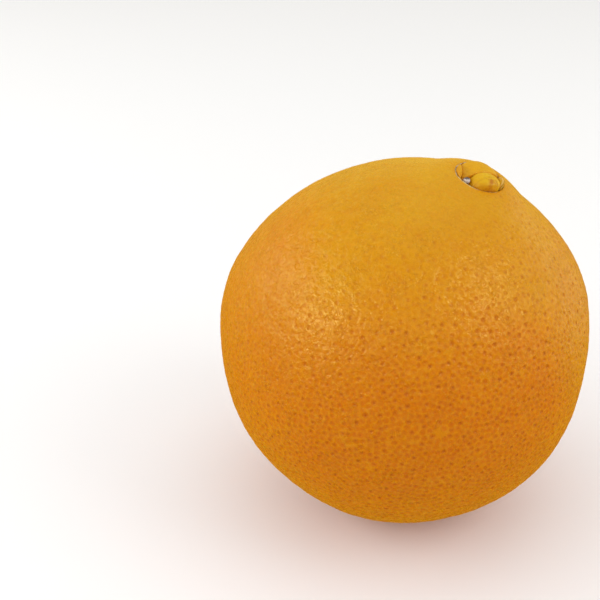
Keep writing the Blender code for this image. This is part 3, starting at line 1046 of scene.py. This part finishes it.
def peel_colour(n, masks):
    # Broad colours first, partly painted light, then painted shade and painted rim light on the
    # flanks, mottling, relief painted as light and shade, and the pits, furrows and cup last
    yellow_angle = n.attribute("yellow_angle")
    drift = n.math("ADD", yellow_angle, n.waver(45.0, 2.0, 14.0))
    # Partly painted light: the ramp is yellower and lighter at the top and darker and redder low
    # down
    base = n.ramp(n.math("DIVIDE", drift, 180.0), PEEL_STOPS)
    # Painted shade: the left flank darker and less red, taking back light from the left lamps
    left_painted_shade = n.math("MULTIPLY", n.remap(n.attribute("lit_left_angle"), 20.0, 75.0, 0.50, 0.0),
                       n.remap(yellow_angle, 35.0, 62.0))
    base = n.mix(left_painted_shade, base, rgb(0.59, 0.22, 0.002))
    # Painted rim light: the right flank yellower, as under a rim light
    painted_rim_light = n.remap(n.attribute("rim_light_angle"), 12.0, 34.0, 0.70, 0.0)
    base = n.mix(painted_rim_light, base, rgb(0.64, 0.27, 0.003))
    mottle = n.remap(n.noise(330.0, 4.0, 0.6), 0.36, 0.66)
    base = n.tint(base, mottle, 0.18, rgb(0.63, 0.26, 0.002))
    # Painted shade: darker in the pebbles' hollows
    hollow_shade = n.remap(masks["pebbles"], 0.34, 0.54, 1.0, 0.0)
    coarse = n.remap(n.attribute("navel_angle"), 14.0, 50.0, 0.10, 0.20)
    base = n.tint(base, hollow_shade, coarse, rgb(0.51, 0.105, 0.001))
    # Painted light: lighter and yellower along the raised wrinkles
    base = n.tint(base, masks["worms"], 0.22, rgb(0.65, 0.29, 0.002))
    # Painted light: lighter on the raised network between pits
    base = n.tint(base, masks["ridge_light"], 0.42, rgb(0.68, 0.26, 0.002))
    patch = n.remap(n.noise(70.0, 2.0), 0.42, 0.70)
    base = n.tint(base, patch, 0.15, rgb(0.55, 0.14, 0.001))
    # Darker skin around each pit: partly its own colour, partly painted shade on the pit's slope
    base = n.tint(base, masks["halo_and_shade"], 0.34, rgb(0.54, 0.115, 0.001))
    # Painted glints: pale specks on the lit left side
    painted_glints = n.remap(n.noise(1500.0, 3.0), 0.52, 0.70)
    glint_share = n.remap(n.attribute("lit_left_angle"), 20.0, 50.0, 0.30, 0.05)
    base = n.tint(base, painted_glints, glint_share, rgb(0.72, 0.42, 0.06))
    # Darker, redder pits: partly the glands' own colour, partly painted shade in them
    base = n.tint(base, masks["pit"], 0.60, rgb(0.43, 0.060, 0.001))
    # Painted shade: darker in the stem end's furrows
    base = n.tint(base, n.attribute("furrow"), 0.55, rgb(0.47, 0.10, 0.001))
    return n.mix(n.remap(n.attribute("cup"), 0.25, 0.6), base, rgb(0.53, 0.20, 0.012))


def peel_bumps(n, masks):
    # Wrinkles, pebbles and grain in millimetres, calmer near the navel, with the pits cut in
    steep = n.remap(n.noise(260.0, 2.0), 0.46, 0.62, 0.028, 0.060)
    height = n.math("MULTIPLY", masks["worms"], steep)
    height = n.math("ADD", height, n.math("MULTIPLY", masks["pebbles"], 0.45))
    height = n.math("ADD", height, n.math("MULTIPLY", n.noise(2000.0, 2.0), 0.08))
    calm = n.remap(n.attribute("navel_angle"), 12.0, 40.0, 0.30, 1.0)
    height = n.math("MULTIPLY", height, calm)
    return n.math("SUBTRACT", height, n.math("MULTIPLY", masks["pit"], 0.16))


def peel_material():
    n = material_nodes("orange_peel_skin")
    masks = peel_masks(n)
    roughness = n.math("ADD", n.remap(n.noise(700.0, 2.0), 0.3, 0.7, 0.22, 0.34),
                       n.math("MULTIPLY", masks["pit"], 0.14))
    return n.finish(peel_colour(n, masks), roughness, peel_bumps(n, masks), MM, **SOFT_GLOSS)


def lobe_base(name, yellow=1.0):
    # What the lobes share: painted shade that makes them darker and redder lower in the cup and
    # lighter and yellower towards the top, mottling, and painted shade making them redder beside
    # the wall
    n = material_nodes(name)
    mottle = n.noise(900.0, 3.0, 0.6)
    blotch = n.remap(n.noise(400.0, 3.0), 0.40, 0.64)
    # Painted shade and light: darker and redder low in the cup, lighter and yellower towards the
    # top
    base = n.ramp(n.remap(n.attribute("rise"), -1.5, 2.6), [
        (0.0, rgb(0.54, 0.19 * yellow, 0.003)),
        (0.40, rgb(0.65, 0.33 * yellow, 0.004)),
        (1.0, rgb(0.68, 0.39 * yellow, 0.005)),
    ])
    base = n.tint(base, blotch, 0.50, rgb(0.65, 0.31, 0.004))
    base = n.mix(n.remap(mottle, 0.55, 0.72, 0.0, 0.5), base, rgb(0.62, 0.25, 0.004))
    # Painted shade: redder and darker beside the cup's wall
    wall_shade = n.remap(n.attribute("from_wall"), 0.05, 0.5, 0.35, 0.0)
    base = n.mix(wall_shade, base, rgb(0.54, 0.19, 0.003))
    bumps = n.math("ADD", n.math("MULTIPLY", n.noise(1500.0, 3.0), 0.10),
                   n.math("MULTIPLY", mottle, 0.20))
    return n, base, mottle, bumps


def lobe_finish(n, base, mottle, bumps):
    roughness = n.remap(mottle, 0.3, 0.7, 0.27, 0.42)
    return n.finish(base, roughness, bumps, MM, **SOFT_GLOSS)


def lobe_material():
    n, base, mottle, bumps = lobe_base("navel_lobe_skin", 0.86)
    # Painted shade: darker and redder along the seams between lobes
    seam = n.remap(n.attribute("seam"), 0.02, 0.40, 0.45, 0.0)
    base = n.mix(seam, base, rgb(0.60, 0.19, 0.003))
    return lobe_finish(n, base, mottle, bumps)


def front_lobe_material():
    # The front lobe has a yellow edge, coloured spots and painted shade in its creases
    n, base, mottle, bumps = lobe_base("navel_front_lobe_skin")
    edge = n.remap(n.attribute("seam"), 0.10, 0.9, 0.8, 0.0)
    base = n.mix(edge, base, rgb(0.76, 0.47, 0.010))
    ragged = n.waver(1300.0, 3.0, 0.70)
    for spot, reach, share, colour in FRONT_SPOTS:
        place = to_world(NAVEL_BASE + np.array([spot]))[0]
        away = n.math("ADD", n.distance(tuple(place)), ragged)
        base = n.mix(n.remap(away, reach * SPOT_CORE, reach, share, 0.0), base, colour)
    # Painted shade: brown along the front lobe's creases
    base = n.tint(base, n.attribute("crease_shade"), 0.8, rgb(0.42, 0.17, 0.010))
    return lobe_finish(n, base, mottle, bumps)


def membrane_material():
    # From the lip inward: yellow skin, a dark dried line and a pale pinkish strip
    n, base, mottle, bumps = lobe_base("dry_membrane_skin")
    wall = n.math("ADD", n.attribute("from_wall"), n.waver(1600.0, 3.0, 0.10))
    pink = n.math("MULTIPLY", n.remap(wall, 0.16, 0.26), n.remap(wall, 0.36, 0.50, 1.0, 0.0))
    dark = n.remap(wall, 0.03, 0.14, 1.0, 0.0)
    base = n.tint(base, pink, 0.70, rgb(0.80, 0.52, 0.24))
    base = n.tint(base, dark, 0.60, rgb(0.30, 0.15, 0.02))
    return lobe_finish(n, base, mottle, bumps)


def rim_scar_material():
    n = material_nodes("rim_scar_skin")
    grain = n.noise(1500.0, 4.0, 0.65)
    pale = n.attribute("pale")
    fleck = n.math("ADD", n.math("MULTIPLY", n.remap(n.noise(800.0, 2.0), 0.40, 0.60), 0.6), pale)
    silver = n.mix(n.remap(pale, 0.6, 0.95), rgb(0.50, 0.46, 0.38), rgb(0.78, 0.60, 0.22))
    base = n.mix(n.remap(fleck, 0.25, 0.85), rgb(0.20, 0.10, 0.03), silver)
    return n.finish(base, n.remap(grain, 0.3, 0.7, 0.5, 0.8), grain, 0.1 * MM)


def nub_material():
    # Silvery dry skin with dark streaks, darkest on its upper left
    n = material_nodes("dried_nub_skin")
    grain = n.noise(1300.0, 4.0, 0.65)
    dark, pale = rgb(0.13, 0.10, 0.09), rgb(0.70, 0.64, 0.60)
    shade = n.remap(n.attribute("shade"), 0.1, 0.95, 0.10, -0.16)
    fleck = n.remap(n.math("ADD", n.noise(700.0, 3.0), shade), 0.40, 0.58)
    base = n.mix(fleck, dark, pale)
    base = n.mix(n.remap(grain, 0.52, 0.70, 0.0, 0.6), base, dark)
    return n.finish(base, n.remap(grain, 0.3, 0.7, 0.6, 0.85), grain, 0.3 * MM)


def calyx_material():
    n = material_nodes("calyx_green")
    grain = n.noise(900.0, 4.0, 0.6)
    base = n.mix(n.remap(n.noise(420.0, 2.0), 0.38, 0.62), rgb(0.33, 0.36, 0.055),
                 rgb(0.52, 0.49, 0.11))
    base = n.mix(n.remap(grain, 0.52, 0.72, 0.0, 0.7), base, rgb(0.24, 0.20, 0.05))
    base = n.mix(n.remap(n.attribute("edge"), 0.82, 1.0, 0.0, 0.75), base, rgb(0.40, 0.26, 0.07))
    return n.finish(base, n.remap(grain, 0.3, 0.7, 0.5, 0.75), grain, 0.2 * MM)


def cut_stem_material():
    n = material_nodes("cut_stem_wood")
    grain = n.noise(1500.0, 3.0, 0.6)
    ragged = n.math("MULTIPLY", n.math("SUBTRACT", grain, 0.5), 0.35)
    base = n.ramp(n.math("ADD", n.attribute("from_middle"), ragged), CUT_STEM_STOPS)
    return n.finish(base, n.remap(grain, 0.3, 0.7, 0.65, 0.9), grain, 0.2 * MM)


# Pieces, each in place of its solid

def dress(piece, material, node=None):
    piece.data.materials.append(material)
    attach(piece, "root")
    if node:
        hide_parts(node)


lobe_skin = lobe_material()
dress(build_skin(), peel_material(), "peel")
dress(build_lobe("lobe_back", BACK_LOBE), lobe_skin, "navel_lobe_back")
dress(build_lobe("lobe_front", FRONT_LOBE), front_lobe_material(),
      "navel_lobe_front")
dress(build_lobe("lobe_side", SIDE_LOBE), lobe_skin, "navel_lobe_side")
dress(build_lobe("dry_crescent", MEMBRANE), membrane_material(),
      "navel_membrane")
dress(build_nub(), nub_material(), "style_nub")
dress(build_rim_scar(), rim_scar_material())
dress(build_calyx(), calyx_material(), "calyx")
dress(build_stub(), cut_stem_material(), "stem_stub")


# Floor, light and camera

FLOOR_SIZE = 3.0
FLOOR_DROP = 0.0002

# Even tent for diffuse rays, and a warm one for glossy rays that brightens over a band of heights
TENT_LIGHT = 0.77
TENT_GLOSS_HIGH = rgb(0.90, 0.66, 0.20)
TENT_GLOSS_LOW = rgb(0.62, 0.30, 0.01)
TENT_GLOSS_BAND = (-0.45, 0.25)

# Lamps: name, direction and distance from the fruit's centre, size, watts, gloss alone or not
SOFTBOXES = (
    ("top_softbox", (0.05, 0.15, 1.0), 0.7, (0.55, 0.55), 0.5, False),
    ("left_softbox", (-0.73, -0.50, 0.47), 0.6, (0.16, 0.16), 0.9, True),
    ("left_panel", (-0.82, -0.14, 0.36), 0.6, (0.80, 0.22), 1.6, False),
    ("right_softbox", (0.69, -0.35, 0.63), 0.6, (0.17, 0.17), 0.8, True),
    ("middle_softbox", (-0.05, -0.84, 0.54), 0.6, (0.40, 0.10), 0.4, True),
    ("right_panel", (0.78, -0.25, 0.50), 0.6, (0.30, 0.60), 0.9, False),
    ("back_right_panel", (0.82, 0.57, 0.10), 0.6, (0.35, 0.50), 0.30, False),
)

# The photograph's view: focal length in pixels of a 600 pixel frame, and where it looks
PHOTO_WIDTH = 600.0
FOCAL_PIXELS = 1103.0
SENSOR = 36.0
VIEW_ELEVATION = math.radians(30.0)
VIEW_DISTANCE = 0.2466
CAMERA_YAW = math.radians(-6.228)
CAMERA_PITCH = math.radians(28.254)


def build_floor():
    half = FLOOR_SIZE / 2.0
    square = ((-half, -half), (half, -half), (half, half), (-half, half))
    corners = np.array([(x, y, -FLOOR_DROP) for x, y in square])
    floor = add_mesh("studio_floor", corners, [(0, 1, 2, 3)])
    floor.data.materials.append(material_nodes("pale_floor").finish(rgb(0.93, 0.93, 0.93), 0.85))
    floor.visible_glossy = False


def light_tent():
    n = Nodes(bpy.data.worlds.new("studio_world"))
    around = n.add("ShaderNodeTexCoord").outputs["Generated"]
    height = n.add("ShaderNodeSeparateXYZ", {0: around}).outputs["Z"]
    gloss = n.mix(n.remap(height, *TENT_GLOSS_BAND), TENT_GLOSS_LOW, TENT_GLOSS_HIGH)
    reflected = n.add("ShaderNodeLightPath").outputs["Is Glossy Ray"]
    even = rgb(TENT_LIGHT, TENT_LIGHT, TENT_LIGHT)
    n.feed(n.tree.nodes["Background"].inputs["Color"], n.mix(reflected, even, gloss))
    bpy.context.scene.world = n.owner


def add_softbox(name, toward, distance, size, power, only_gloss):
    light = bpy.data.lights.new(name, "AREA")
    light.shape = "RECTANGLE"
    light.size, light.size_y = size
    light.energy = power
    lamp = bpy.data.objects.new(name, light)
    lamp.visible_diffuse = not only_gloss
    aim = Vector(toward).normalized()
    lamp.location = CENTRE + aim * distance
    lamp.rotation_euler = aim.to_track_quat("Z", "Y").to_euler()
    bpy.context.scene.collection.objects.link(lamp)


def place_camera():
    camera = bpy.data.cameras.new("photo_camera")
    camera.sensor_width = SENSOR
    camera.lens = FOCAL_PIXELS / PHOTO_WIDTH * SENSOR
    camera.clip_start = 0.01
    holder = bpy.data.objects.new("photo_camera", camera)
    back = Vector((0.0, -math.cos(VIEW_ELEVATION), math.sin(VIEW_ELEVATION)))
    holder.location = CENTRE + back * VIEW_DISTANCE
    holder.rotation_euler = (math.pi / 2.0 - CAMERA_PITCH, 0.0, -CAMERA_YAW)
    bpy.context.scene.collection.objects.link(holder)
    bpy.context.scene.camera = holder


build_floor()
light_tent()
for softbox in SOFTBOXES:
    add_softbox(*softbox)
place_camera()
bpy.context.scene.view_settings.view_transform = "Standard"
